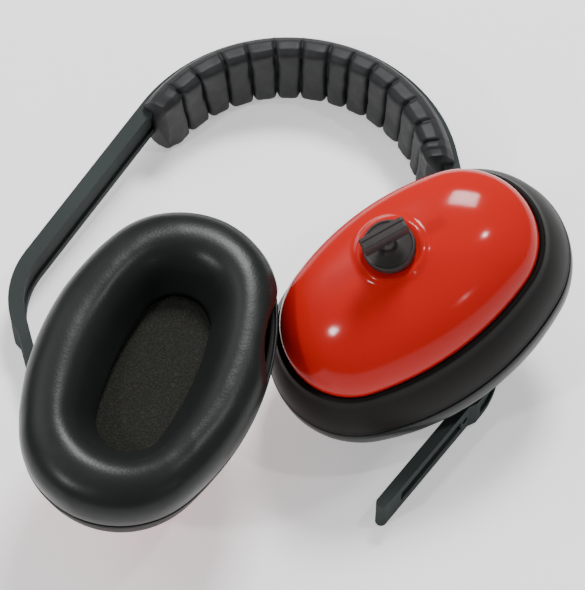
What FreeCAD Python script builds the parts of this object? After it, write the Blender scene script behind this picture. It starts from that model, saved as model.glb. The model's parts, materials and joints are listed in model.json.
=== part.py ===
# Earmuff hearing protector, laid on a table: one-piece slotted headband with a
# ribbed crown pad, and two oval ear cups with turn-lock knobs.
# Units are millimetres, +Z up.  Every cup is modelled in its own frame:
#   z = 0 on the face of the cushion, +z outwards towards the knob,
#   x along the long axis of the oval, y along the short axis.
# The headband is modelled in its own plane (mid plane z = 0, +y to the crown).
import FreeCAD, Part
import math
import os
import Sketcher

V = FreeCAD.Vector
doc = FreeCAD.newDocument("earmuff")

# ---------------------------------------------------------------- sheet
sheet = doc.addObject("Spreadsheet::Sheet", "Dims")
CELLS = [
    # headband
    ("crown_radius", 59.4), ("crown_centre_y", 43.0), ("arm_flare_deg", 20.3),
    ("upper_arm_len", 75.2), ("bend_radius", 31.9), ("lower_arm_in_deg", 26.5),
    ("lower_arm_len", 53.0), ("band_width", 13.6), ("band_thick", 5.4),
    ("lower_thick", 4.0), ("step_pos", 6.0), ("groove_depth", 1.1),
    ("groove_width", 8.0), ("slot_width", 5.2), ("slot_start", 10.0),
    ("slot_end", 44.5), ("tip_round", 1.9), ("hang_hole_radius", 1.5),
    ("hang_hole_pos", 7.9),
    # crown pad
    ("pad_width", 30.0), ("pad_depth", 8.2), ("pad_half_deg", 70.0),
    ("pad_skin", 1.4), ("pad_gap", 0.05),
    # ear cup
    ("cushion_a", 55.9), ("cushion_b", 37.4), ("cushion_high", 16.6),
    ("hole_a", 29.5), ("hole_b", 13.5), ("skin", 1.2),
    ("ring_a", 55.6), ("ring_b", 36.6), ("ring_low", 16.7), ("ring_top", 36.4),
    ("ring_top_a", 48.2), ("ring_top_b", 28.9), ("ring_wall", 2.5),
    ("plate_a", 52.3), ("plate_b", 33.1), ("plate_thick", 1.5),
    ("dome_a", 47.2), ("dome_b", 27.9), ("dome_top", 56.3), ("dome_wall", 2.2),
    ("dome_skew", 5.0), ("skirt_deep", 6.0), ("absorber_a", 43.0),
    ("absorber_b", 24.0), ("absorber_low", 18.4), ("absorber_thick", 14.0),
    # knob
    ("knob_x", 0.8), ("knob_y", 7.2), ("pivot_high", 50.0),
    ("collar_top", 56.5), ("collar_radius", 9.6), ("collar_foot", 13.5),
    ("hub_radius", 9.0), ("hub_low", 45.0), ("ball_radius", 6.0),
    ("ball_clear", 0.3), ("ball_half", 3.8), ("shaft_radius", 3.0),
    ("shaft_clear", 0.05), ("disc_radius", 8.7), ("disc_low", 57.4),
    ("disc_thick", 3.6), ("neck_radius", 2.4), ("bar_low", 68.2),
    ("bar_thick", 5.0), ("bar_long", 16.0), ("bar_wide", 4.3),
    ("shaft_low", 41.8), ("washer_low", 42.7), ("washer_thick", 1.4),
    ("washer_radius", 6.5), ("bar_turn_deg", -7.5),
    # how the pieces lie: cup poses in the frame of the headband
    ("right_x", 58.7), ("right_y", -11.4), ("right_z", 31.5),
    ("right_lean_x", 16.3), ("right_lean_y", -7.6), ("right_turn", 45.6),
    ("left_x", -21.94), ("left_y", -70.58), ("left_z", 81.46),
    ("left_lean_x", 4.2), ("left_lean_y", 2.1), ("left_turn", 79.3),
    ("band_mid_z", 15.0), ("floor_tilt", 3.26),
    ("origin_x", -9.73), ("origin_y", 12.288), ("origin_z", -3.36),
]
for row, (name, value) in enumerate(CELLS, start=1):
    sheet.set("A%d" % row, name)
    sheet.set("B%d" % row, repr(value))
    sheet.setAlias("B%d" % row, name)
doc.recompute()


def dim(name):
    return float(getattr(sheet, name))


# ---------------------------------------------------------------- placements
def rot(axis, deg):
    return FreeCAD.Placement(V(0, 0, 0), FreeCAD.Rotation(axis, deg))


X, Y, Z = V(1, 0, 0), V(0, 1, 0), V(0, 0, 1)
# the whole object leans by floor_tilt so that pad, arm tip and knob all touch
# the table
WORLD = FreeCAD.Placement(V(dim("origin_x"), dim("origin_y"), dim("origin_z")),
                          FreeCAD.Rotation(X, dim("floor_tilt")))
BAND = WORLD.multiply(FreeCAD.Placement(V(0, 0, dim("band_mid_z")), FreeCAD.Rotation()))


def cup_placement(side):
    lean = rot(X, dim(side + "_lean_x")).multiply(rot(Y, dim(side + "_lean_y")))
    at = FreeCAD.Placement(V(dim(side + "_x"), dim(side + "_y"), dim(side + "_z")),
                           FreeCAD.Rotation())
    if side == "left":
        turn = rot(X, 180).multiply(rot(Z, -dim(side + "_turn")))
    else:
        turn = rot(Z, dim(side + "_turn"))
    return WORLD.multiply(at).multiply(lean).multiply(turn)


OUT = []  # (object, node name)


def keep(obj, name, placement):
    obj.Label = name
    obj.Placement = placement
    OUT.append((obj, name))


# ---------------------------------------------------------------- path of the band
def path_points():
    r, cy = dim("crown_radius"), dim("crown_centre_y")
    t1 = math.radians(90 - dim("arm_flare_deg"))
    t2 = math.radians(90 + dim("lower_arm_in_deg"))
    r2 = dim("bend_radius")
    p1 = V(r * math.sin(t1), cy + r * math.cos(t1), 0)
    d1 = V(math.cos(t1), -math.sin(t1), 0)
    p2 = p1 + d1 * dim("upper_arm_len")
    c2 = V(p2.x - r2 * math.sin(t1), p2.y - r2 * math.cos(t1), 0)
    p3 = c2 + V(r2 * math.sin(t2), r2 * math.cos(t2), 0)
    d2 = V(math.cos(t2), -math.sin(t2), 0)
    p4 = p3 + d2 * dim("lower_arm_len")
    return dict(r=r, c1=V(0, cy, 0), t1=t1, t2=t2, r2=r2, p1=p1, d1=d1, p2=p2,
                c2=c2, p3=p3, d2=d2, p4=p4,
                n1=V(math.sin(t1), math.cos(t1), 0), n2=V(math.sin(t2), math.cos(t2), 0))


PT = path_points()


def on_arc(c, r, a):
    return c + V(r * math.sin(a), r * math.cos(a), 0)


def mirror(p, side):
    return V(p.x * side, p.y, p.z)


def side_run(d, side):
    """Edges of one half of the band at offset d, from the crown to the end of
    the bend: ('arc', a, mid, b) and ('line', a, b)."""
    q = PT
    a0, a1 = on_arc(q["c1"], q["r"] + d, 0.0), on_arc(q["c1"], q["r"] + d, q["t1"])
    am = on_arc(q["c1"], q["r"] + d, q["t1"] / 2)
    b1 = a1 + q["d1"] * dim("upper_arm_len")
    b2 = on_arc(q["c2"], q["r2"] + d, q["t2"])
    bm = on_arc(q["c2"], q["r2"] + d, (q["t1"] + q["t2"]) / 2)
    run = [("arc", a0, am, a1), ("line", a1, b1), ("arc", b1, bm, b2)]
    return [(e[0],) + tuple(mirror(p, side) for p in e[1:]) for e in run]


def lower(s, d, side):
    """Point on the straight lower arm, s along it and d outwards."""
    return mirror(PT["p3"] + PT["d2"] * s + PT["n2"] * d, side)


def flip(e):
    return (e[0],) + tuple(reversed(e[1:]))


def add_edges(sketch, edges):
    for e in edges:
        if e[0] == "line":
            sketch.addGeometry(Part.LineSegment(e[1], e[2]), False)
        else:
            sketch.addGeometry(Part.Arc(e[1], e[2], e[3]), False)


def poly(pts):
    return [("line", pts[i], pts[(i + 1) % len(pts)]) for i in range(len(pts))]


def origin_plane(body, role):
    for f in body.Origin.OriginFeatures:
        if f.Role == role:
            return f
    raise RuntimeError("no plane " + role)


def new_sketch(body, name, role="XY_Plane"):
    s = body.newObject("Sketcher::SketchObject", name)
    s.AttachmentSupport = [(origin_plane(body, role), "")]
    s.MapMode = "FlatFace"
    return s


def symmetric(feature):
    if hasattr(feature, "SideType"):
        feature.SideType = "Symmetric"
    else:
        feature.Midplane = True


def pad(body, sketch, name, expr, sym=True):
    f = body.newObject("PartDesign::Pad", name)
    f.Profile = sketch
    f.setExpression("Length", expr)
    if sym:
        symmetric(f)
    return f


def pocket(body, sketch, name, expr, sym=True):
    f = body.newObject("PartDesign::Pocket", name)
    f.Profile = sketch
    f.setExpression("Length", expr)
    if sym:
        symmetric(f)
    return f


# ---------------------------------------------------------------- headband
band = doc.addObject("PartDesign::Body", "HeadbandBody")
th, tl = dim("band_thick") / 2.0, dim("lower_thick")
inner = -th
outer_low = inner + tl
L = dim("lower_arm_len")
sp = dim("step_pos")
edges = []
tr = tl / 2.0
for side in (-1, 1):
    run_out = side_run(th, side)
    run_in = side_run(inner, side)
    half = []
    half += run_out
    half.append(("line", lower(0, th, side), lower(sp - 3.0, th, side)))
    half.append(("line", lower(sp - 3.0, th, side), lower(sp, outer_low, side)))
    half.append(("line", lower(sp, outer_low, side), lower(L, outer_low, side)))
    half.append(("arc", lower(L, outer_low, side), lower(L + tr, inner + tr, side),
                 lower(L, inner, side)))
    half.append(("line", lower(L, inner, side), lower(0, inner, side)))
    half += [flip(e) for e in reversed(run_in)]
    edges += half
sk = new_sketch(band, "BandOutline")
add_edges(sk, edges)
pad(band, sk, "BandPad", "Dims.band_width")
doc.recompute()

# shallow channel along the inner face of each arm, between raised rims
gd = dim("groove_depth")
pad_end = math.radians(dim("pad_half_deg"))


def channel(d_face, d_deep, side, s_end):
    q = PT
    a1 = on_arc(q["c1"], q["r"] + d_face, q["t1"])
    a2 = on_arc(q["c1"], q["r"] + d_deep, q["t1"])
    g1 = a1 + q["d1"] * dim("upper_arm_len")
    g2 = a2 + q["d1"] * dim("upper_arm_len")
    h1, h2 = on_arc(q["c2"], q["r2"] + d_face, q["t2"]), on_arc(q["c2"], q["r2"] + d_deep, q["t2"])
    m1 = on_arc(q["c2"], q["r2"] + d_face, (q["t1"] + q["t2"]) / 2)
    m2 = on_arc(q["c2"], q["r2"] + d_deep, (q["t1"] + q["t2"]) / 2)
    e = [("line", a1, g1), ("arc", g1, m1, h1),
         ("line", h1, PT["p3"] + PT["d2"] * s_end + PT["n2"] * d_face),
         ("line", PT["p3"] + PT["d2"] * s_end + PT["n2"] * d_face,
          PT["p3"] + PT["d2"] * (s_end - 2) + PT["n2"] * d_deep),
         ("line", PT["p3"] + PT["d2"] * (s_end - 2) + PT["n2"] * d_deep, h2),
         ("arc", h2, m2, g2), ("line", g2, a2), ("line", a2, a1)]
    return [(k[0],) + tuple(mirror(p, side) for p in k[1:]) for k in e]


for nm, face, deep in (("InnerChannel", inner - 0.5, inner + gd),
                       ("OuterChannel", th + 0.5, th - gd)):
    sk = new_sketch(band, nm)
    for side in (-1, 1):
        add_edges(sk, channel(face, deep, side, 1.5 if face > 0 else 3.5))
    pocket(band, sk, nm + "Cut", "Dims.groove_width")
    doc.recompute()

# height slot through each lower arm
sk = new_sketch(band, "SlotOutline")
for side in (-1, 1):
    add_edges(sk, poly([lower(dim("slot_start"), -8, side), lower(dim("slot_start"), 8, side),
                        lower(dim("slot_end"), 8, side), lower(dim("slot_end"), -8, side)]))
pocket(band, sk, "SlotCut", "Dims.slot_width")
doc.recompute()

# small round hole through each arm between the step and the slot
last = band
for side, tag in ((1, "Right"), (-1, "Left")):
    drill = doc.addObject("Part::Cylinder", "HangHole" + tag)
    drill.setExpression("Radius", "Dims.hang_hole_radius")
    drill.Height = 24.0
    n = V(PT["n2"].x * side, PT["n2"].y, 0)
    drill.Placement = FreeCAD.Placement(
        lower(dim("hang_hole_pos"), -12.0, side), FreeCAD.Rotation(Z, n))
    cut = doc.addObject("Part::Cut", "HeadbandDrilled" + tag)
    cut.Base, cut.Tool = last, drill
    last = cut
doc.recompute()
keep(last, "headband", BAND)


# ---------------------------------------------------------------- crown pad
def arc_block(body, name, r0, r1, half, expr):
    c = PT["c1"]
    p = [on_arc(c, r1, -half), on_arc(c, r1, 0), on_arc(c, r1, half),
         on_arc(c, r0, half), on_arc(c, r0, 0), on_arc(c, r0, -half)]
    s = new_sketch(body, name)
    add_edges(s, [("arc", p[0], p[1], p[2]), ("line", p[2], p[3]),
                  ("arc", p[3], p[4], p[5]), ("line", p[5], p[0])])
    return s


r_out = PT["r"] + inner - dim("pad_gap")
r_in = r_out - dim("pad_depth")
cover = doc.addObject("PartDesign::Body", "PadCoverBody")
s1 = arc_block(cover, "PadOutline", r_in, r_out, pad_end, None)
pad(cover, s1, "PadSolid", "Dims.pad_width")
doc.recompute()
s2 = arc_block(cover, "PadHollow", r_in + dim("pad_skin"), r_out - dim("pad_skin"),
               pad_end + 0.1, None)
pocket(cover, s2, "PadHollowCut", "Dims.pad_width - 2 * Dims.pad_skin")
doc.recompute()
keep(cover, "headband_pad_cover", BAND)

core = doc.addObject("PartDesign::Body", "PadFoamBody")
s3 = arc_block(core, "FoamOutline", r_in + dim("pad_skin"), r_out - dim("pad_skin"),
               pad_end - 0.01, None)
pad(core, s3, "FoamSolid", "Dims.pad_width - 2 * Dims.pad_skin")
doc.recompute()
keep(core, "headband_pad_foam", BAND)


# ---------------------------------------------------------------- oval tools
def oval(a, b, z, cx=0.0, cy=0.0):
    """Four-arc oval, semi axes a and b, as a closed wire."""
    r = b * 0.86
    c = a - r
    big = (b * b + c * c - r * r) / (2 * (b - r))
    # tangent point between end arc (centre c,0) and side arc (centre 0,b-big)
    cyb = b - big
    dx, dy = c, -cyb
    n = math.hypot(dx, dy)
    tx, ty = c + dx / n * r, dy / n * r
    sx = math.sqrt(big * big - 0) * 0
    top, right = V(cx, cy + b, z), V(cx + a, cy, z)
    p = [V(cx + tx, cy + ty, z), V(cx - tx, cy + ty, z),
         V(cx - tx, cy - ty, z), V(cx + tx, cy - ty, z)]
    e = [Part.Arc(p[0], V(cx, cy + b, z), p[1]).toShape(),
         Part.Arc(p[1], V(cx - a, cy, z), p[2]).toShape(),
         Part.Arc(p[2], V(cx, cy - b, z), p[3]).toShape(),
         Part.Arc(p[3], V(cx + a, cy, z), p[0]).toShape()]
    return Part.Wire(e)


def loft(sections, ruled=False):
    return Part.makeLoft([oval(*s) for s in sections], True, ruled)


def dome_sections(a, b, z0, z1, skew, extra=()):
    out = list(extra)
    for f in (1.0, 0.985, 0.95, 0.885, 0.79, 0.66, 0.50, 0.33, 0.16):
        g = (1 - f ** 2.25) ** (1 / 2.25)
        out.append((a * f, b * f, z0 + (z1 - z0) * g, dim("knob_x") * g * 0.6, skew * g))
    return out


def ring_profile(z, grow=0.0):
    """Semi axes of the flared ring at height z."""
    k = (z - dim("ring_low")) / (dim("ring_top") - dim("ring_low"))
    bulge = 1.3 * math.sin(math.pi * min(max(k, 0), 1))
    a = dim("ring_a") + (dim("ring_top_a") - dim("ring_a")) * k + bulge + grow
    b = dim("ring_b") + (dim("ring_top_b") - dim("ring_b")) * k + bulge + grow
    return a, b


def cushion_sections(inset):
    a, b = dim("cushion_a") - inset, dim("cushion_b") - inset
    z = [(inset, 9.0), (inset + 0.9, 5.2), (inset + 3.2, 1.8), (inset + 6.5, 0.0)]
    h = dim("cushion_high")
    out = [(a - 9.0 + inset, b - 9.0 + inset, inset + 0.0),
           (a - 4.6, b - 4.6, inset + 1.3), (a - 1.7, b - 1.7, 4.2 + inset * 0.6),
           (a, b, 8.4), (a - 0.5, b - 0.5, 12.6), (a - 1.6, b - 1.6, h)]
    return out


def single(shape):
    s = shape.removeSplitter() if hasattr(shape, "removeSplitter") else shape
    if s.ShapeType == "Compound" and len(s.Solids) == 1:
        s = s.Solids[0]
    return s


def make_cup(side):
    place = cup_placement(side)
    kx, ky = dim("knob_x"), dim("knob_y")

    def feature(name, shape):
        f = doc.addObject("Part::Feature", side + "_" + name)
        f.Shape = single(shape)
        keep(f, side + "_" + name, place)
        return f

    # soft cushion: outer form, ear opening, skin and foam
    h = dim("cushion_high")
    ha, hb, sk_t = dim("hole_a"), dim("hole_b"), dim("skin")
    body_ = loft(cushion_sections(0.0))
    opening = loft([(ha + 11.0, hb + 11.0, -1.0), (ha + 8.0, hb + 8.0, 1.2),
                    (ha + 5.0, hb + 5.0, 4.2), (ha + 2.6, hb + 2.6, 8.5),
                    (ha + 0.8, hb + 0.8, 13.0), (ha, hb, h + 1.0)])
    whole = body_.cut(opening)
    foam_body = loft([(a, b, min(z, h - 0.0)) for a, b, z in
                      [(s[0], s[1], s[2]) for s in cushion_sections(sk_t)]])
    foam_open = loft([(ha + 11.5, hb + 11.5, sk_t - 1.0), (ha + 9.0, hb + 9.0, 2.4),
                      (ha + 6.2, hb + 6.2, 5.2), (ha + 3.9, hb + 3.9, 9.1),
                      (ha + 2.1, hb + 2.1, 13.2), (ha + sk_t, hb + sk_t, h + 1.0)])
    foam = foam_body.cut(foam_open)
    cover_ = whole.cut(foam)
    feature("cushion_foam", foam)
    feature("cushion_cover", cover_)

    # rigid plate behind the cushion
    plate = doc.addObject("PartDesign::Body", side + "_PlateBody")
    s = new_sketch(plate, side + "_PlateOutline")
    for w in (oval(dim("plate_a"), dim("plate_b"), 0), oval(ha + 0.4, hb + 0.4, 0)):
        for e in w.Edges:
            m = e.valueAt((e.FirstParameter + e.LastParameter) / 2)
            s.addGeometry(Part.Arc(e.Vertexes[0].Point, m, e.Vertexes[1].Point), False)
    pad(plate, s, side + "_PlatePad", "Dims.plate_thick", sym=False)
    doc.recompute()
    keep(plate, side + "_cushion_plate",
         place.multiply(FreeCAD.Placement(V(0, 0, dim("ring_low")), FreeCAD.Rotation())))

    # flared base ring
    w = dim("ring_wall")
    zs = [dim("ring_low") + (dim("ring_top") - dim("ring_low")) * k for k in
          (0.0, 0.2, 0.45, 0.7, 0.9, 1.0)]
    outer = loft([ring_profile(z) + (z,) for z in zs])
    inner_s = [ring_profile(zs[0], -w) + (zs[0] - 0.01,)] + \
              [ring_profile(z, -w) + (z,) for z in zs[1:-1]] + \
              [ring_profile(zs[-1], -w) + (zs[-1] + 0.01,)]
    ring = outer.cut(loft(inner_s))
    feature("base_ring", ring)

    # absorber foam, the floor of the ear opening
    al, at_ = dim("absorber_low"), dim("absorber_thick")
    aa, ab = dim("absorber_a"), dim("absorber_b")
    feature("absorber_foam", loft([(aa, ab, al), (aa, ab, al + at_ * 0.5),
                                   (aa - 1.5, ab - 1.5, al + at_)]))

    # domed outer shell with collar and hub for the knob
    w = dim("dome_wall")
    z0, z1 = dim("ring_top") + 0.1, dim("dome_top")
    a, b, sk_ = dim("dome_a"), dim("dome_b"), dim("dome_skew")
    out_s = dome_sections(a, b, z0, z1, sk_)
    in_s = dome_sections(a - w, b - w, z0, z1 - w, sk_)
    outer = loft(out_s)
    collar = Part.makeCone(dim("collar_foot"), dim("collar_radius"),
                           dim("collar_top") - 52.0, V(kx, ky, 52.0), Z)
    hub = Part.makeCylinder(dim("hub_radius"), 54.0 - dim("hub_low"),
                            V(kx, ky, dim("hub_low")), Z)
    skirt = loft([(45.3, 26.0, z0 - dim("skirt_deep")), (45.3, 26.0, z0 + 1.5)], True).cut(
        loft([(43.4, 24.1, z0 - dim("skirt_deep") - 1), (43.4, 24.1, z0 + 2.5)], True))
    skirt = skirt.common(Part.makeBox(140, 120, z0 + 1.2 - (z0 - dim("skirt_deep")),
                                      V(-70, -60, z0 - dim("skirt_deep"))))
    cav = loft([(a - w, b - w, z0 - 1.0)] + in_s[:1], True)
    inner_dome = loft(in_s)
    shell = outer.fuse(collar).cut(inner_dome)
    shell = shell.fuse(skirt.common(outer.fuse(loft([(46.0, 26.7, z0 - 10), (46.0, 26.7, z0)], True))))
    shell = shell.fuse(hub.common(outer.fuse(collar)))
    pv = V(kx, ky, dim("pivot_high"))
    shell = shell.cut(Part.makeSphere(dim("ball_radius") + dim("ball_clear"), pv))
    shell = shell.cut(Part.makeCylinder(4.7, 30, V(kx, ky, 40), Z))
    feature("outer_shell", shell)

    # ball bush the knob's stem turns in
    ball = Part.makeSphere(dim("ball_radius"), V(0, 0, 0))
    bh = dim("ball_half")
    b_obj = doc.addObject("Part::Sphere", side + "_BushBall")
    b_obj.setExpression("Radius", "Dims.ball_radius")
    slab = doc.addObject("Part::Box", side + "_BushSlab")
    slab.setExpression("Length", "Dims.ball_radius * 4")
    slab.setExpression("Width", "Dims.ball_radius * 4")
    slab.setExpression("Height", "Dims.ball_half * 2")
    slab.setExpression("Placement.Base.x", "-Dims.ball_radius * 2")
    slab.setExpression("Placement.Base.y", "-Dims.ball_radius * 2")
    slab.setExpression("Placement.Base.z", "-Dims.ball_half")
    com = doc.addObject("Part::Common", side + "_BushBody")
    com.Base, com.Tool = b_obj, slab
    bore = doc.addObject("Part::Cylinder", side + "_BushBore")
    bore.setExpression("Radius", "Dims.shaft_radius + Dims.shaft_clear")
    bore.setExpression("Height", "Dims.ball_radius * 4")
    bore.setExpression("Placement.Base.z", "-Dims.ball_radius * 2")
    bush = doc.addObject("Part::Cut", side + "_Bush")
    bush.Base, bush.Tool = com, bore
    keep(bush, side + "_knob_bush", place.multiply(FreeCAD.Placement(pv, FreeCAD.Rotation())))

    # push-on washer that retains the stem
    w_out = doc.addObject("Part::Cylinder", side + "_WasherOuter")
    w_out.setExpression("Radius", "Dims.washer_radius")
    w_out.setExpression("Height", "Dims.washer_thick")
    w_in = doc.addObject("Part::Cylinder", side + "_WasherInner")
    w_in.setExpression("Radius", "Dims.shaft_radius")
    w_in.setExpression("Height", "Dims.washer_thick * 3")
    w_in.setExpression("Placement.Base.z", "-Dims.washer_thick")
    washer = doc.addObject("Part::Cut", side + "_Washer")
    washer.Base, washer.Tool = w_out, w_in
    keep(washer, side + "_knob_washer",
         place.multiply(FreeCAD.Placement(V(kx, ky, dim("washer_low")), FreeCAD.Rotation())))

    # turn-lock knob: stem and disc revolved, neck, and T bar padded
    knob = doc.addObject("PartDesign::Body", side + "_KnobBody")
    s = new_sketch(knob, side + "_KnobProfile", "XZ_Plane")
    sr, dr, nr = dim("shaft_radius"), dim("disc_radius"), dim("neck_radius")
    zl, dl, dt, bl = dim("shaft_low"), dim("disc_low"), dim("disc_thick"), dim("bar_low")
    pts = [V(0, zl, 0), V(sr - 0.5, zl, 0), V(sr, zl + 0.5, 0), V(sr, dl, 0), V(dr, dl, 0),
           V(dr, dl + dt - 0.7, 0), V(dr - 0.7, dl + dt, 0), V(nr, dl + dt, 0),
           V(nr, bl + 0.5, 0), V(0, bl + 0.5, 0)]
    add_edges(s, poly(pts))
    rev = knob.newObject("PartDesign::Revolution", side + "_KnobTurned")
    rev.Profile = s
    rev.ReferenceAxis = (s, ["V_Axis"])
    rev.Angle = 360.0
    doc.recompute()
    s = new_sketch(knob, side + "_BarOutline")
    s.AttachmentOffset = FreeCAD.Placement(V(0, 0, bl), FreeCAD.Rotation())
    hl, hw = dim("bar_long") / 2.0, dim("bar_wide") / 2.0
    rr = 1.2
    q = [V(hl - rr, hw, 0), V(-hl + rr, hw, 0), V(-hl, hw - rr, 0), V(-hl, -hw + rr, 0),
         V(-hl + rr, -hw, 0), V(hl - rr, -hw, 0), V(hl, -hw + rr, 0), V(hl, hw - rr, 0)]
    c45 = rr * (1 - math.sqrt(0.5))
    add_edges(s, [("line", q[0], q[1]),
                  ("arc", q[1], V(-hl + c45, hw - c45, 0), q[2]), ("line", q[2], q[3]),
                  ("arc", q[3], V(-hl + c45, -hw + c45, 0), q[4]), ("line", q[4], q[5]),
                  ("arc", q[5], V(hl - c45, -hw + c45, 0), q[6]), ("line", q[6], q[7]),
                  ("arc", q[7], V(hl - c45, hw - c45, 0), q[0])])
    pad(knob, s, side + "_BarPad", "Dims.bar_thick", sym=False)
    doc.recompute()
    keep(knob, side + "_knob",
         place.multiply(FreeCAD.Placement(V(kx, ky, 0), FreeCAD.Rotation(Z, dim("bar_turn_deg")))))


for side in ("right", "left"):
    make_cup(side)
doc.recompute()

# ---------------------------------------------------------------- checks and export
bad = [o.Name for o in doc.Objects if "Invalid" in o.State or "Error" in o.State]
if bad:
    raise RuntimeError("failed objects: " + ", ".join(bad))
os.makedirs("parts", exist_ok=True)
for obj, name in OUT:
    s = obj.Shape
    if s.isNull() or not s.isValid():
        raise RuntimeError("bad shape: " + name)
    if len(s.Solids) != 1:
        print("solids", name, len(s.Solids))
    bb = s.BoundBox
    print("%-24s vol %9.1f  x %7.1f %7.1f  y %7.1f %7.1f  z %7.1f %7.1f" % (
        name, s.Volume, bb.XMin, bb.XMax, bb.YMin, bb.YMax, bb.ZMin, bb.ZMax))
for obj, name in OUT:
    obj.Shape.exportStep("parts/%s.step" % name)
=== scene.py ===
import bpy, bmesh, json, math
from mathutils import Vector, Matrix, noise


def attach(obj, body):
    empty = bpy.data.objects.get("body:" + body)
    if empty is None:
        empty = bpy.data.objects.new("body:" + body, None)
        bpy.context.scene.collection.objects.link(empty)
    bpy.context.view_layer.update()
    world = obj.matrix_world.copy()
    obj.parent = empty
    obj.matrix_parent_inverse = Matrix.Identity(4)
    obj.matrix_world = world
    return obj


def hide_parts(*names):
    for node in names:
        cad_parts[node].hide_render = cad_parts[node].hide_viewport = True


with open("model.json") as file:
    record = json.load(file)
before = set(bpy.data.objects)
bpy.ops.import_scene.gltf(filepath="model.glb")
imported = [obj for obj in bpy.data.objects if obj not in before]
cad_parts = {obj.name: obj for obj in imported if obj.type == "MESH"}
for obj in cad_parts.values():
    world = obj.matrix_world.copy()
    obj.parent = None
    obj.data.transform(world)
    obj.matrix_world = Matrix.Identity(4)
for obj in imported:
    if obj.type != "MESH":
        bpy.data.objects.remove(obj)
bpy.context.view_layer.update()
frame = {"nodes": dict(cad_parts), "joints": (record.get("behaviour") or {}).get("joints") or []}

MM = 0.001

# ------------------------------------------------------------------ design sizes (mm), as in the CAD sheet
D = dict(
    crown_radius=59.4, crown_centre_y=43.0, band_thick=5.4, pad_width=30.0, pad_depth=8.2,
    cushion_a=55.9, cushion_b=37.4, cushion_high=16.6, hole_a=29.5, hole_b=13.5,
    ring_a=55.6, ring_b=36.6, ring_low=16.7, ring_top=36.4, ring_top_a=48.2, ring_top_b=28.9,
    dome_a=47.2, dome_b=27.9, dome_top=56.3, dome_skew=5.0,
    absorber_a=43.0, absorber_b=24.0, absorber_low=18.4, absorber_thick=14.0,
    knob_x=0.8, knob_y=7.2, pivot_high=50.0, collar_top=56.5, collar_radius=9.6,
    band_mid_z=15.0, floor_tilt=3.26, origin=(-9.73, 12.288, -3.36))

WORLD = Matrix.Translation(Vector(D["origin"]) * MM) @ Matrix.Rotation(math.radians(D["floor_tilt"]), 4, "X")
BAND = WORLD @ Matrix.Translation((0, 0, D["band_mid_z"] * MM))
JOINT = {j["name"]: j for j in frame["joints"]}


def cup_matrix(side):
    """Cup frame from its own joints: x long axis, y short axis, z outwards, origin on the cushion's face."""
    w = Vector(JOINT[side + "_cup_turn"]["axis"]).normalized()
    u = Vector(JOINT[side + "_cup_tilt"]["axis"]).normalized()
    v = w.cross(u)
    piv = Vector(JOINT[side + "_cup_turn"]["pos_m"])
    o = piv - (u * D["knob_x"] + v * D["knob_y"] + w * D["pivot_high"]) * MM
    m = Matrix((u, v, w)).transposed().to_4x4()
    m.translation = o
    return m


CUP = {s: cup_matrix(s) for s in ("right", "left")}


# ------------------------------------------------------------------ mesh helpers
def smooth01(x):
    x = min(max(x, 0.0), 1.0)
    return x * x * (3 - 2 * x)


def oval_table(a, b, n):
    """n points of a four-arc oval, evenly spaced, with outward normals, from the +x end."""
    r = b * 0.86
    c = a - r
    big = (b * b + c * c - r * r) / (2 * (b - r))
    cy = b - big
    te = math.atan2(-cy, c)
    quarter = r * te + big * (math.pi / 2 - te)
    out = []
    for i in range(n):
        s = (i / n) * 4 * quarter
        q = int(s // quarter) % 4
        l = s - q * quarter
        if q in (1, 3):
            l = quarter - l
        if l <= r * te:
            psi = l / r
            x, y = c + r * math.cos(psi), r * math.sin(psi)
        else:
            psi = te + (l - r * te) / big
            x, y = big * math.cos(psi), cy + big * math.sin(psi)
        nx, ny = math.cos(psi), math.sin(psi)
        sx = -1 if q in (1, 2) else 1
        sy = -1 if q in (2, 3) else 1
        out.append((x * sx, y * sy, nx * sx, ny * sy))
    return out


def mesh_object(name, verts, faces, matrix, smooth=True):
    me = bpy.data.meshes.new(name)
    me.from_pydata([matrix @ (Vector(v) * MM) for v in verts], [], faces)
    me.validate()
    bm = bmesh.new()
    bm.from_mesh(me)
    bmesh.ops.recalc_face_normals(bm, faces=bm.faces)
    bm.to_mesh(me)
    bm.free()
    if smooth:
        me.polygons.foreach_set("use_smooth", [True] * len(me.polygons))
    ob = bpy.data.objects.new(name, me)
    bpy.context.scene.collection.objects.link(ob)
    return ob


def rings_mesh(name, rows, matrix, loop=False, cap_start=False, cap_end=False, smooth=True):
    """rows: lists of equal length, each a closed ring of points."""
    n = len(rows[0])
    verts = [p for row in rows for p in row]
    faces = []
    m = len(rows)
    for i in range(m if loop else m - 1):
        a, b = i * n, ((i + 1) % m) * n
        for j in range(n):
            k = (j + 1) % n
            faces.append((a + j, a + k, b + k, b + j))
    if cap_start:
        verts.append(tuple(sum(c) / n for c in zip(*rows[0])))
        k0 = len(verts) - 1
        faces += [(k0, (j + 1) % n, j) for j in range(n)]
    if cap_end:
        verts.append(tuple(sum(c) / n for c in zip(*rows[-1])))
        k1 = len(verts) - 1
        b = (m - 1) * n
        faces += [(k1, b + j, b + (j + 1) % n) for j in range(n)]
    return mesh_object(name, verts, faces, matrix, smooth)


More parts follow.
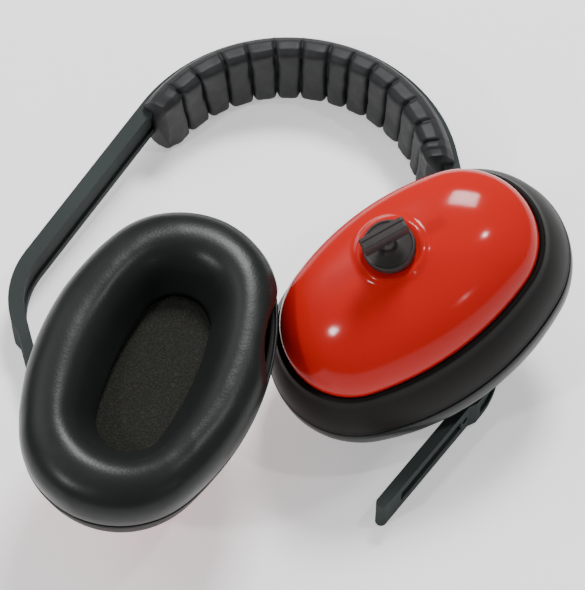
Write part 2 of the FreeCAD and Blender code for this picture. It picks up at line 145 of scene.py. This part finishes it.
def rounded(points, closed=False, steps=4):
    """points: (x, y, radius); returns the polyline with rounded corners."""
    out = []
    n = len(points)
    for i, (x, y, r) in enumerate(points):
        if r <= 0 or (not closed and i in (0, n - 1)):
            out.append((x, y))
            continue
        px, py, _ = points[(i - 1) % n]
        qx, qy, _ = points[(i + 1) % n]
        v1 = Vector((px - x, py - y)); v2 = Vector((qx - x, qy - y))
        l1, l2 = v1.length, v2.length
        v1.normalize(); v2.normalize()
        ang = math.acos(max(-1, min(1, v1.dot(v2))))
        if ang > math.pi - 0.02:
            out.append((x, y))
            continue
        t = min(r / math.tan(ang / 2), l1 * 0.49, l2 * 0.49)
        rr = t * math.tan(ang / 2)
        bis = (v1 + v2).normalized()
        c = Vector((x, y)) + bis * (rr / math.sin(ang / 2))
        a = Vector((x, y)) + v1 * t
        b = Vector((x, y)) + v2 * t
        va, vb = a - c, b - c
        tot = va.angle_signed(vb)
        for k in range(steps + 1):
            f = tot * k / steps
            cs, sn = math.cos(-f), math.sin(-f)
            out.append((c.x + va.x * cs - va.y * sn, c.y + va.x * sn + va.y * cs))
    return out


# ------------------------------------------------------------------ materials
def material(name, colour, rough=0.5, **kw):
    m = bpy.data.materials.new(name)
    m.use_nodes = True
    nt = m.node_tree
    bsdf = nt.nodes["Principled BSDF"]
    bsdf.inputs["Base Color"].default_value = (*colour, 1)
    bsdf.inputs["Roughness"].default_value = rough
    for k, v in kw.items():
        bsdf.inputs[k].default_value = v
    return m, nt, bsdf


def lin(r, g, b):
    return tuple((c / 255 / 12.92) if c / 255 <= 0.04045 else ((c / 255 + 0.055) / 1.055) ** 2.4 for c in (r, g, b))


def add_noise(nt, scale, detail=4.0, rough=0.55, kind="noise"):
    tc = nt.nodes.new("ShaderNodeTexCoord")
    if kind == "voronoi":
        t = nt.nodes.new("ShaderNodeTexVoronoi")
        t.inputs["Scale"].default_value = scale
    else:
        t = nt.nodes.new("ShaderNodeTexNoise")
        t.inputs["Scale"].default_value = scale
        t.inputs["Detail"].default_value = detail
        t.inputs["Roughness"].default_value = rough
    nt.links.new(tc.outputs["Object"], t.inputs["Vector"])
    return t


def ramp(nt, src, stops, out="Fac"):
    r = nt.nodes.new("ShaderNodeValToRGB")
    e = r.color_ramp.elements
    e[0].position, e[0].color = stops[0][0], (*stops[0][1], 1)
    e[1].position, e[1].color = stops[-1][0], (*stops[-1][1], 1)
    for p, c in stops[1:-1]:
        k = e.new(p)
        k.color = (*c, 1)
    nt.links.new(src.outputs[out], r.inputs["Fac"])
    return r


def bump(nt, bsdf, sources, dist=0.0002):
    prev = None
    for src, sock, strength, d in sources:
        b = nt.nodes.new("ShaderNodeBump")
        b.inputs["Strength"].default_value = strength
        b.inputs["Distance"].default_value = d
        nt.links.new(src.outputs[sock], b.inputs["Height"])
        if prev is not None:
            nt.links.new(prev.outputs["Normal"], b.inputs["Normal"])
        prev = b
    nt.links.new(prev.outputs["Normal"], bsdf.inputs["Normal"])


def rough_from(nt, bsdf, src, lo, hi, out="Fac"):
    mr = nt.nodes.new("ShaderNodeMapRange")
    mr.inputs["From Min"].default_value = 0.3
    mr.inputs["From Max"].default_value = 0.7
    mr.inputs["To Min"].default_value = lo
    mr.inputs["To Max"].default_value = hi
    nt.links.new(src.outputs[out], mr.inputs["Value"])
    nt.links.new(mr.outputs["Result"], bsdf.inputs["Roughness"])


def make_materials():
    mats = {}
    # glossy red moulded shell
    m, nt, b = material("red_gloss_shell", (0.56, 0.016, 0.008), 0.12, **{"Specular IOR Level": 0.16})
    n = add_noise(nt, 9.0, 3)
    r = ramp(nt, n, [(0.3, (0.48, 0.012, 0.0080)), (0.7, (0.55, 0.0165, 0.0115))])
    nt.links.new(r.outputs["Color"], b.inputs["Base Color"])
    n2 = add_noise(nt, 45.0, 2)
    bump(nt, b, [(n2, "Fac", 0.06, 0.0004)])
    mats["red"] = m
    # satin black ring
    m, nt, b = material("satin_black_ring", (0.009, 0.0075, 0.0065), 0.46, **{"Specular IOR Level": 0.08})
    n = add_noise(nt, 22.0, 4)
    r = ramp(nt, n, [(0.3, (0.0052, 0.0043, 0.0038)), (0.7, (0.0082, 0.0070, 0.0062))])
    nt.links.new(r.outputs["Color"], b.inputs["Base Color"])
    g = add_noise(nt, 1400.0, 2)
    bump(nt, b, [(g, "Fac", 0.12, 0.0001)])
    rough_from(nt, b, n, 0.40, 0.52)
    mats["ring"] = m
    # cushion vinyl
    m, nt, b = material("cushion_vinyl", (0.0095, 0.0115, 0.0112), 0.36, **{"Specular IOR Level": 0.20})
    n = add_noise(nt, 28.0, 5, 0.6)
    r = ramp(nt, n, [(0.28, (0.0105, 0.0122, 0.0118)), (0.55, (0.0135, 0.0155, 0.0150)), (0.75, (0.0170, 0.0195, 0.0188))])
    nt.links.new(r.outputs["Color"], b.inputs["Base Color"])
    cells = add_noise(nt, 1100.0, kind="voronoi")
    fine = add_noise(nt, 2600.0, 3)
    bump(nt, b, [(cells, "Distance", 0.20, 0.0001), (fine, "Fac", 0.15, 0.00006)])
    rough_from(nt, b, n, 0.30, 0.38)
    mats["cushion"] = m
    # crown pad vinyl
    m, nt, b = material("pad_vinyl", (0.016, 0.017, 0.018), 0.55, **{"Specular IOR Level": 0.30})
    n = add_noise(nt, 40.0, 5, 0.6)
    r = ramp(nt, n, [(0.28, (0.011, 0.012, 0.013)), (0.55, (0.016, 0.0172, 0.0185)), (0.8, (0.024, 0.0255, 0.027))])
    nt.links.new(r.outputs["Color"], b.inputs["Base Color"])
    cells = add_noise(nt, 1500.0, kind="voronoi")
    creases = add_noise(nt, 140.0, 4)
    bump(nt, b, [(creases, "Fac", 0.22, 0.0006), (cells, "Distance", 0.25, 0.0001)])
    rough_from(nt, b, n, 0.46, 0.62)
    mats["pad"] = m
    # headband plastic
    m, nt, b = material("band_plastic", (0.030, 0.037, 0.036), 0.66, **{"Specular IOR Level": 0.05})
    n = add_noise(nt, 18.0, 4)
    r = ramp(nt, n, [(0.3, (0.033, 0.040, 0.039)), (0.7, (0.046, 0.056, 0.055))])
    nt.links.new(r.outputs["Color"], b.inputs["Base Color"])
    g = add_noise(nt, 1800.0, 3)
    bump(nt, b, [(g, "Fac", 0.18, 0.0001)])
    rough_from(nt, b, n, 0.62, 0.74)
    mats["band"] = m
    # knob plastic
    m, nt, b = material("knob_plastic", (0.022, 0.0165, 0.0165), 0.5, **{"Specular IOR Level": 0.40})
    n = add_noise(nt, 90.0, 4)
    r = ramp(nt, n, [(0.3, (0.017, 0.0125, 0.0125)), (0.7, (0.030, 0.0235, 0.0235))])
    nt.links.new(r.outputs["Color"], b.inputs["Base Color"])
    g = add_noise(nt, 2200.0, 3)
    bump(nt, b, [(g, "Fac", 0.2, 0.0001)])
    mats["knob"] = m
    # open-cell absorber foam
    m, nt, b = material("absorber_foam", (0.028, 0.028, 0.022), 0.95, **{"Specular IOR Level": 0.18})
    cells = add_noise(nt, 1700.0, kind="voronoi")
    # painted shade in the pores: the base colour is darkest at the cell centres, where the same cells make pits in the
    # bump below
    r = ramp(nt, cells, [(0.0, (0.009, 0.009, 0.0073)), (0.45, (0.0155, 0.0157, 0.0127)), (1.0, (0.028, 0.028, 0.0228))], out="Distance")
    nt.links.new(r.outputs["Color"], b.inputs["Base Color"])
    n = add_noise(nt, 700.0, 6, 0.7)
    bump(nt, b, [(cells, "Distance", 0.6, 0.0003), (n, "Fac", 0.5, 0.0003)])
    mats["foam"] = m
    # small hidden parts
    m, nt, b = material("washer_steel", lin(170, 172, 175), 0.3, Metallic=1.0)
    n = add_noise(nt, 700.0, 3)
    rough_from(nt, b, n, 0.24, 0.4)
    mats["steel"] = m
    m, nt, b = material("acetal", lin(205, 203, 196), 0.4)
    n = add_noise(nt, 300.0, 3)
    rough_from(nt, b, n, 0.34, 0.46)
    mats["acetal"] = m
    return mats


MATS = make_materials()


def paint(ob, key):
    ob.data.materials.clear()
    ob.data.materials.append(MATS[key])


# ------------------------------------------------------------------ ear cups
N_AROUND = 160


def dome_height(x, y, z):
    return z


def build_shell(side):
    a, b, z0, z1 = D["dome_a"] - 0.1, D["dome_b"] - 0.1, D["ring_top"] + 0.1, D["dome_top"]
    kx, ky = D["knob_x"], D["knob_y"]
    prof = []
    # tucked lower edge, then the dome from its seam to the top
    for k in range(0, 61):
        th = math.pi / 2 * k / 60
        f = math.cos(th) ** (2 / 2.25)
        g = math.sin(th) ** (2 / 2.25)
        prof.append((f, g))
    rows = []
    wall = 2.0
    # inside lip
    for d, h in ((-wall, 3.0), (-wall, 0.0), (-0.5, -0.25), (-0.1, -0.05)):
        t = oval_table(a + d, b + d, N_AROUND)
        rows.append([(p[0], p[1], z0 + h) for p in t])
    for f, g in prof:
        aa, bb = a * f, b * f
        sk_x, sk_y = D["knob_x"] * 0.6 * g, D["dome_skew"] * g
        zz = z0 + (z1 - z0) * g
        if f > 0.02:
            t = oval_table(max(aa, 0.05), max(bb, 0.03), N_AROUND)
        else:
            t = [(0.3 * math.cos(2 * math.pi * i / N_AROUND), 0.2 * math.sin(2 * math.pi * i / N_AROUND), 0, 0) for i in range(N_AROUND)]
        rows.append([(p[0] + sk_x, p[1] + sk_y, zz) for p in t])
    ob = rings_mesh(side + "_red_shell", rows, Matrix.Identity(4), cap_end=True)
    # raised collar under the knob, blended into the dome with a soft fillet
    me = ob.data
    bm = bmesh.new()
    bm.from_mesh(me)
    top = D["collar_top"]
    near = [v for v in bm.verts if (v.co.x / MM - kx) ** 2 + (v.co.y / MM - ky) ** 2 < 22 ** 2 and v.co.z / MM > z0 + 4]
    edges = set(e for v in near for e in v.link_edges if all(w in near for w in e.verts))
    bmesh.ops.subdivide_edges(bm, edges=list(edges), cuts=1, use_grid_fill=True)
    for v in bm.verts:
        x, y, z = v.co.x / MM, v.co.y / MM, v.co.z / MM
        if z < z0 + 4:
            continue
        r = math.hypot(x - kx, y - ky)
        if r < 17.0:
            w = smooth01((14.0 - r) / (14.0 - D["collar_radius"])) ** 1.3
            z = z + (top - z) * w + 0.55 * math.exp(-((r - 10.7) / 1.15) ** 2)
            if r < 7.6:
                z = top - 0.6 * smooth01((7.6 - r) / 0.8)
            v.co.z = z * MM
    bm.to_mesh(me)
    bm.free()
    me.transform(CUP[side])
    me.polygons.foreach_set("use_smooth", [True] * len(me.polygons))
    paint(ob, "red")
    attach(ob, side + "_cup")
    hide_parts(side + "_outer_shell")
    return ob


def ring_ab(z, grow=0.0):
    k = (z - D["ring_low"]) / (D["ring_top"] - D["ring_low"])
    bul = 1.3 * math.sin(math.pi * min(max(k, 0), 1))
    return (D["ring_a"] + (D["ring_top_a"] - D["ring_a"]) * k + bul + grow,
            D["ring_b"] + (D["ring_top_b"] - D["ring_b"]) * k + bul + grow)


def build_ring(side):
    lo, hi = D["ring_low"], D["ring_top"]
    rows = []

    def row(z, grow):
        a, b = ring_ab(min(max(z, lo), hi), grow)
        t = oval_table(a, b, N_AROUND)
        rows.append([(p[0], p[1], z) for p in t])
    row(lo + 0.5, -2.4)
    row(lo + 0.05, -2.2)
    row(lo, -1.8)
    row(lo, -0.5)
    row(lo + 0.08, -0.12)
    row(lo + 0.35, 0.02)
    row(lo + 1.5, 0.05)
    row(lo + 1.9, -0.02)
    for k in range(1, 20):
        z = lo + 1.9 + (hi - lo - 4.8) * k / 20
        row(z, -0.02)
    row(hi - 2.6, 0.15)
    row(hi - 1.3, 0.42)
    row(hi - 0.5, 0.62)
    row(hi - 0.12, 0.55)
    row(hi, 0.25)
    row(hi, -0.75)
    row(hi - 0.1, -0.98)
    row(hi - 0.6, -1.15)
    row(hi - 2.0, -1.6)
    row(hi - 2.0, -2.4)
    for k in range(1, 6):
        row(hi - 2.0 - (hi - lo - 3.0) * k / 6, -2.5)
    ob = rings_mesh(side + "_ring", rows, CUP[side], loop=True)
    paint(ob, "ring")
    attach(ob, side + "_cup")
    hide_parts(side + "_base_ring")
    return ob


def cushion_profile():
    """(blend 0 outer..1 hole, height) round the section of the cushion, from the ring side outwards."""
    h = D["cushion_high"]
    return [(0.045, h - 0.15), (0.014, h - 0.9), (-0.004, h - 2.6), (-0.012, h - 5.0), (-0.008, 9.4), (0.006, 7.4),
            (0.034, 5.4), (0.08, 3.6), (0.145, 2.05), (0.225, 0.95), (0.315, 0.3), (0.41, 0.02), (0.50, 0.12),
            (0.585, 0.72), (0.665, 1.9), (0.74, 3.7), (0.81, 6.1), (0.872, 8.9), (0.925, 11.7), (0.965, 14.2), (1.0, h - 0.2)]


def dent_left(me):
    """The soft left cushion gives way where the rigid ring of the right cup presses on it."""
    inv = CUP["right"].inverted()
    el, az = math.radians(58.4815), math.radians(11.0892)
    back = Vector((math.sin(az) * math.cos(el), -math.cos(az) * math.cos(el), math.sin(el)))
    back = (inv.to_3x3() @ (WORLD.to_3x3() @ back))
    lift = CUP["right"].to_3x3()
    a, b = D["ring_a"] + 0.2, D["ring_b"] + 0.5
    r = b * 0.86
    c = a - r
    big = (b * b + c * c - r * r) / (2 * (b - r))
    cy = b - big
    for v in me.vertices:
        q = (inv @ v.co) / MM
        t = (q.z - 20.0) / back.z
        x, y = q.x - back.x * t, q.y - back.y * t
        ax, ay = abs(x), abs(y)
        # distance to the four-arc oval and the direction outwards
        if (ax - 0) * (-cy) - (ay - cy) * c > 0:
            dx, dy = ax - c, ay
            dist = math.hypot(dx, dy) - r
        else:
            dx, dy = ax, ay - cy
            dist = math.hypot(dx, dy) - big
        if dist > 3.0 or dist < -12.0:
            continue
        n = math.hypot(dx, dy)
        depth = -dist
        push = depth if depth >= 3.0 else (depth + 3.0) ** 2 / 12.0
        d = Vector((math.copysign(dx / n, x) if dx * x else 0, math.copysign(dy / n, y) if dy * y else 0, 0))
        v.co += (lift @ d) * push * MM


def build_cushion(side):
    h = D["cushion_high"]
    A, B, a, b = D["cushion_a"], D["cushion_b"], D["hole_a"], D["hole_b"]
    to = oval_table(A, B, N_AROUND)
    ti = [(x, y + 0.9, nx, ny) for x, y, nx, ny in oval_table(a - 0.3, b - 0.8, N_AROUND)]
    rows = []
    for lam, z in cushion_profile():
        row = []
        for i in range(N_AROUND):
            x = to[i][0] * (1 - lam) + ti[i][0] * lam
            y = to[i][1] * (1 - lam) + ti[i][1] * lam
            row.append((x, y, z))
        rows.append(row)
    # closing back wall
    for lam in (0.9, 0.5, 0.15):
        rows.append([(to[i][0] * (1 - lam) + ti[i][0] * lam, to[i][1] * (1 - lam) + ti[i][1] * lam, h - 0.05) for i in range(N_AROUND)])
    ob = rings_mesh(side + "_cushion", rows, Matrix.Identity(4), loop=True)
    sub = ob.modifiers.new("sub", "SUBSURF")
    sub.levels = sub.render_levels = 1
    dg = bpy.context.evaluated_depsgraph_get()
    me = bpy.data.meshes.new_from_object(ob.evaluated_get(dg))
    ob.modifiers.clear()
    ob.data = me
    # gentle unevenness of soft foam under vinyl
    for v in me.vertices:
        p = Vector(v.co) / MM
        if p.z > h - 1.0:
            continue
        d = noise.noise(Vector((p.x * 0.055, p.y * 0.055, p.z * 0.08 + (3.1 if side == "left" else 9.7))))
        e = noise.noise(Vector((p.x * 0.16, p.y * 0.16, p.z * 0.2 + 5.0)))
        v.co = v.co - Vector(v.normal) * (abs(d) * 0.26 + abs(e) * 0.05) * MM * (1 if p.z < 13 else 0.3)
    me.transform(CUP[side])
    if side == "left":
        dent_left(me)
    me.polygons.foreach_set("use_smooth", [True] * len(me.polygons))
    paint(ob, "cushion")
    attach(ob, side + "_cup")
    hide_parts(side + "_cushion_cover", side + "_cushion_foam")
    # thin welt where the cushion's skirt tucks behind the ring
    t = oval_table(A - 0.55, B - 0.75, N_AROUND)
    rows = []
    for i in range(10):
        an = 2 * math.pi * i / 10
        rows.append([(p[0] + p[2] * 0.55 * math.cos(an), p[1] + p[3] * 0.55 * math.cos(an), h - 0.5 + 0.5 * math.sin(an)) for p in t])
    welt = rings_mesh(side + "_cushion_welt", rows, CUP[side], loop=True)
    paint(welt, "cushion")
    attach(welt, side + "_cup")
    return ob


def build_absorber(side):
    """Soft foam pad that fills the floor of the ear opening."""
    a, b, z, t = D["absorber_a"], D["absorber_b"], D["absorber_low"], D["absorber_thick"]
    rows = []
    fr = [1.0 - i / 30 for i in range(30)]
    back = oval_table(a - 1.5, b - 1.5, 128)
    rows.append([(p[0], p[1], z + t) for p in back])
    side_t = oval_table(a, b, 128)
    for zz in (z + t * 0.6, z + t * 0.3, z + 1.2):
        rows.append([(p[0], p[1], zz) for p in side_t])
    for f in fr:
        row = []
        for p in oval_table(a * f, b * f, 128):
            n = noise.noise(Vector((p[0] * 0.09, p[1] * 0.09, 2.3)))
            m = noise.noise(Vector((p[0] * 0.9, p[1] * 0.9, 7.7)))
            e = 0.9 * (1 - smooth01((1 - f) / 0.06))
            row.append((p[0], p[1], z + e + 0.45 * (n * 0.5 + 0.5) + 0.22 * m + 0.25))
        rows.append(row)
    ob = rings_mesh(side + "_absorber", rows, CUP[side], cap_start=True, cap_end=True)
    paint(ob, "foam")
    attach(ob, side + "_cup")
    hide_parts(side + "_absorber_foam")
    return ob


def build_knob(side):
    kx, ky = D["knob_x"], D["knob_y"]
    M = CUP[side] @ Matrix.Translation((kx * MM, ky * MM, 0)) @ Matrix.Rotation(math.radians(-7.5), 4, "Z")
    prof = rounded([(0, 41.8, 0), (2.5, 41.8, 0), (3.0, 42.3, 0), (3.0, 57.2, 0), (8.2, 57.4, 0.3), (8.7, 57.9, 0.3),
                    (8.7, 60.85, 0.5), (8.0, 61.1, 0.3), (7.6, 60.75, 0.25), (3.2, 60.75, 0.5), (2.6, 61.6, 0.3), (2.55, 68.6, 0), (0, 68.6, 0)], steps=3)
    n = 72
    rows = [[(max(r, 0.02) * math.cos(2 * math.pi * i / n), max(r, 0.02) * math.sin(2 * math.pi * i / n), z) for i in range(n)] for r, z in prof]
    ob = rings_mesh(side + "_turn_knob", rows, M, cap_start=True, cap_end=True)
    # T bar with rounded edges and a shallow channel along its top
    hl, hw, z0, z1 = 8.0, 2.15, 66.4, 73.2
    sec = rounded([(-hw, z0, 0.5), (hw, z0, 0.5), (hw, z1, 0.45), (0.75, z1, 0.2), (0.55, z1 - 0.3, 0.15), (-0.55, z1 - 0.3, 0.15), (-0.75, z1, 0.2), (-hw, z1, 0.45)], closed=True, steps=3)
    rows = []
    stations = [(-hl, 0.86), (-hl + 0.15, 0.93), (-hl + 0.5, 0.985), (-hl + 1.0, 1.0), (-3, 1.0), (3, 1.0), (hl - 1.0, 1.0), (hl - 0.5, 0.985), (hl - 0.15, 0.93), (hl, 0.86)]
    zc = (z0 + z1) / 2
    for x, s in stations:
        rows.append([(x, y * s, zc + (z - zc) * s) for y, z in sec])
    bar = rings_mesh(side + "_knob_bar", rows, M, cap_start=True, cap_end=True)
    for o in (ob, bar):
        paint(o, "knob")
        o.data.polygons.foreach_set("use_smooth", [True] * len(o.data.polygons))
        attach(o, side + "_knob")
    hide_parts(side + "_knob")
    return ob


# ------------------------------------------------------------------ crown pad
GROOVES_LOW = [-58.0, -46.4, -36.3, -25.6, -15.5, -5.8, 5.6, 14.6, 24.6, 34.5, 44.4, 55.4, 63.8]
GROOVES_HIGH = [-62.0, -51.0, -38.0, -27.5, -16.0, -5.0, 6.0, 15.5, 25.5, 36.0, 47.0, 58.0, 67.5]


def build_pad():
    r_out = D["crown_radius"] - D["band_thick"] / 2 - 0.05
    depth = D["pad_depth"]
    W = D["pad_width"] / 2
    low = [-71.0] + GROOVES_LOW + [73.5]
    high = [-72.0] + GROOVES_HIGH + [74.5]
    # section: (depth from the band's inner face 0..1, side -1..1); the shoulders roll over the band's edges
    sec = rounded([(0.0, -0.465, 0.01), (0.0, 0.465, 0.01), (-0.40, 0.465, 0.01), (-0.44, 0.53, 0.03), (-0.34, 0.68, 0.2), (-0.10, 0.86, 0.4), (0.25, 0.98, 0.5),
                   (0.70, 0.985, 0.25), (1.0, 0.86, 0.16), (1.0, -0.86, 0.16), (0.70, -0.985, 0.25), (0.25, -0.98, 0.5),
                   (-0.10, -0.86, 0.4), (-0.34, -0.68, 0.2), (-0.44, -0.53, 0.03), (-0.40, -0.465, 0.01)], closed=True, steps=4)
    pts = []
    for i in range(len(sec)):
        p, q = Vector(sec[i]), Vector(sec[(i + 1) % len(sec)])
        L = math.hypot((q.x - p.x) * depth, (q.y - p.y) * W)
        k = max(1, int(round(L / 1.0)))
        for j in range(k):
            pts.append(p.lerp(q, j / k))
    rows = []
    seg_per = 18
    for s in range(len(low) - 1):
        for j in range(seg_per + (1 if s == len(low) - 2 else 0)):
            u = j / seg_per
            uu = 0.62 * (0.5 - 0.5 * math.cos(math.pi * u)) + 0.38 * u
            row = []
            for p in pts:
                f, lat = p.x, p.y
                t = (lat + 1) / 2
                a0 = low[s] + (high[s] - low[s]) * t
                a1 = low[s + 1] + (high[s + 1] - low[s + 1]) * t
                ang = a0 + (a1 - a0) * uu
                edge = min(uu, 1 - uu) * (a1 - a0) * math.pi / 180 * 52.0
                at_end = (s == 0 and uu < 0.5) or (s == len(low) - 2 and uu >= 0.5)
                body = smooth01((f - 0.02) / 0.35)
                shoulder = 1.0 if abs(lat) > 0.5 and f < 0.3 else 0.0
                open_ = max(body, 0.18 * shoulder * smooth01((abs(lat) - 0.5) / 0.2))
                pinch = math.exp(-(edge / 0.62) ** 1.3)
                swell = math.sin(math.pi * uu) ** 0.6
                if at_end:
                    # the cover's ends taper down onto the band
                    pinch = 0.55 * (1 - smooth01(edge / 5.5))
                rr = f * depth
                fade = 1.0 - 0.45 * smooth01((abs(lat) - 0.6) / 0.35)
                rr -= 2.7 * pinch * open_ * fade * (1 if f > -0.2 else 0.5)
                rr += (0.55 * swell - 0.25) * smooth01((f - 0.4) / 0.6)
                zz = lat * W
                zz -= math.copysign(1.25 * pinch * open_, lat) * smooth01((abs(lat) - 0.55) / 0.3)
                if at_end:
                    zz -= math.copysign(1.2 * pinch, lat) * smooth01((abs(lat) - 0.55) / 0.3)
                n1 = noise.noise(Vector((ang * 0.16 + s * 0.7, f * 1.6, lat * 1.8)))
                n2 = noise.noise(Vector((ang * 0.55, f * 3.1 + s * 2.3, lat * 4.5)))
                rr += (0.42 * n1 + 0.16 * n2) * body
                zz += 0.25 * n1 * body * abs(lat)
                aa = math.radians(ang + 0.5 * noise.noise(Vector((lat * 2.1, s * 3.7, 1.0))) * open_)
                r = r_out - rr
                if abs(lat) < 0.5 and f < 0.02:
                    r = min(r, r_out)
                row.append((r * math.sin(aa), D["crown_centre_y"] + r * math.cos(aa), max(zz, -14.95)))
            rows.append(row)
    ob = rings_mesh("crown_pad", rows, BAND, cap_start=True, cap_end=True)
    paint(ob, "pad")
    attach(ob, "headband")
    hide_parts("headband_pad_cover", "headband_pad_foam")
    return ob


for side in ("right", "left"):
    build_shell(side)
    build_ring(side)
    build_cushion(side)
    build_absorber(side)
    build_knob(side)
build_pad()

# ------------------------------------------------------------------ carried-over CAD nodes
NODES = frame["nodes"]
for name, key in (("headband", "band"),):
    ob = NODES[name]
    paint(ob, key)
    bev = ob.modifiers.new("soft_edges", "BEVEL")
    bev.width = 0.0004
    bev.segments = 2
    bev.limit_method = "ANGLE"
    bev.angle_limit = math.radians(35)
    bev.harden_normals = False
for side in ("right", "left"):
    paint(NODES[side + "_cushion_plate"], "ring")
    paint(NODES[side + "_knob_washer"], "steel")
    paint(NODES[side + "_knob_bush"], "acetal")
    paint(NODES[side + "_outer_shell"], "red")
    paint(NODES[side + "_base_ring"], "ring")
    paint(NODES[side + "_cushion_cover"], "cushion")
    paint(NODES[side + "_cushion_foam"], "foam")
    paint(NODES[side + "_absorber_foam"], "foam")
    paint(NODES[side + "_knob"], "knob")
paint(NODES["headband_pad_cover"], "pad")
paint(NODES["headband_pad_foam"], "foam")

# ------------------------------------------------------------------ floor, light, camera
def build_stage():
    me = bpy.data.meshes.new("floor")
    s = 3.0
    me.from_pydata([(-s, -s, 0), (s, -s, 0), (s, s, 0), (-s, s, 0)], [], [(0, 1, 2, 3)])
    ob = bpy.data.objects.new("floor", me)
    bpy.context.scene.collection.objects.link(ob)
    m, nt, b = material("pale_floor", (0.93, 0.93, 0.93), 0.8, **{"Specular IOR Level": 0.1})
    b.inputs["Emission Color"].default_value = (1, 1, 1, 1)
    b.inputs["Emission Strength"].default_value = 0.5
    me.materials.append(m)
    world = bpy.data.worlds.new("studio") if bpy.context.scene.world is None else bpy.context.scene.world
    bpy.context.scene.world = world
    world.use_nodes = True
    nt = world.node_tree
    bg = nt.nodes.get("Background") or nt.nodes.new("ShaderNodeBackground")
    bg.inputs["Strength"].default_value = 1.0
    # an even room with one broad soft glow high behind the crown
    tc = nt.nodes.new("ShaderNodeTexCoord")
    dot = nt.nodes.new("ShaderNodeVectorMath")
    dot.operation = "DOT_PRODUCT"
    az, el = math.radians(165), math.radians(52)
    dot.inputs[1].default_value = (math.cos(az) * math.cos(el), math.sin(az) * math.cos(el), math.sin(el))
    nt.links.new(tc.outputs["Generated"], dot.inputs[0])
    cl = nt.nodes.new("ShaderNodeMath")
    cl.operation = "MAXIMUM"
    cl.inputs[1].default_value = 0.0
    nt.links.new(dot.outputs["Value"], cl.inputs[0])
    pw = nt.nodes.new("ShaderNodeMath")
    pw.operation = "POWER"
    pw.inputs[1].default_value = 20.0
    nt.links.new(cl.outputs[0], pw.inputs[0])
    ma = nt.nodes.new("ShaderNodeMath")
    ma.operation = "MULTIPLY_ADD"
    ma.inputs[1].default_value = 3.2
    ma.inputs[2].default_value = 0.21
    nt.links.new(pw.outputs[0], ma.inputs[0])
    nt.links.new(ma.outputs[0], bg.inputs["Color"])


def area(name, loc, target, size, energy, size_y=None, colour=(1, 1, 1)):
    l = bpy.data.lights.new(name, "AREA")
    l.energy = energy
    l.color = colour
    l.shape = "RECTANGLE"
    l.size = size
    l.size_y = size_y or size
    o = bpy.data.objects.new(name, l)
    o.location = loc
    o.rotation_mode = "QUATERNION"
    o.rotation_quaternion = (Vector(target) - Vector(loc)).to_track_quat("-Z", "Y")
    bpy.context.scene.collection.objects.link(o)
    return o


build_stage()


def camera():
    el, az, dist, s = math.radians(58.4815), math.radians(11.0892), 899.91, 2.8456
    back = Vector((math.sin(az) * math.cos(el), -math.cos(az) * math.cos(el), math.sin(el)))
    right = Vector((math.cos(az), math.sin(az), 0))
    up = back.cross(right)
    m = Matrix((right, up, back)).transposed().to_4x4()
    m.translation = (Vector((10.6645, -1.7928, 15.0)) + back * dist) * MM
    cam = bpy.data.cameras.new("camera")
    ob = bpy.data.objects.new("camera", cam)
    bpy.context.scene.collection.objects.link(ob)
    m = WORLD @ m
    ob.rotation_mode = "QUATERNION"
    ob.location = m.translation
    ob.rotation_quaternion = m.to_quaternion()
    cam.sensor_width = 36.0
    cam.lens = s * dist * 36.0 / 590.0
    cam.clip_start, cam.clip_end = 0.05, 20
    bpy.context.scene.camera = ob
    return ob


CAM = camera()


def aimed(name, az, el, dist, size, energy, size_y=None, target=(0.02, -0.02, 0.07), colour=(1, 1, 1)):
    a, e = math.radians(az), math.radians(el)
    t = Vector(target)
    loc = t + Vector((math.cos(a) * math.cos(e), math.sin(a) * math.cos(e), math.sin(e))) * dist
    return area(name, loc, t, size, energy, size_y, colour)


aimed("window", 88, 60, 1.3, 0.34, 19.0, 0.34, (0.055, 0.0, 0.085))
aimed("lamp_left", -133, 39, 1.2, 0.09, 4.2, 0.09, (0.023, -0.037, 0.066))
aimed("lamp_high", 6, 68, 1.2, 0.05, 2.2, 0.04, (0.066, -0.003, 0.084))
aimed("lamp_right", -42, 28, 1.2, 0.022, 0.35, 0.022, (0.063, -0.021, 0.074))
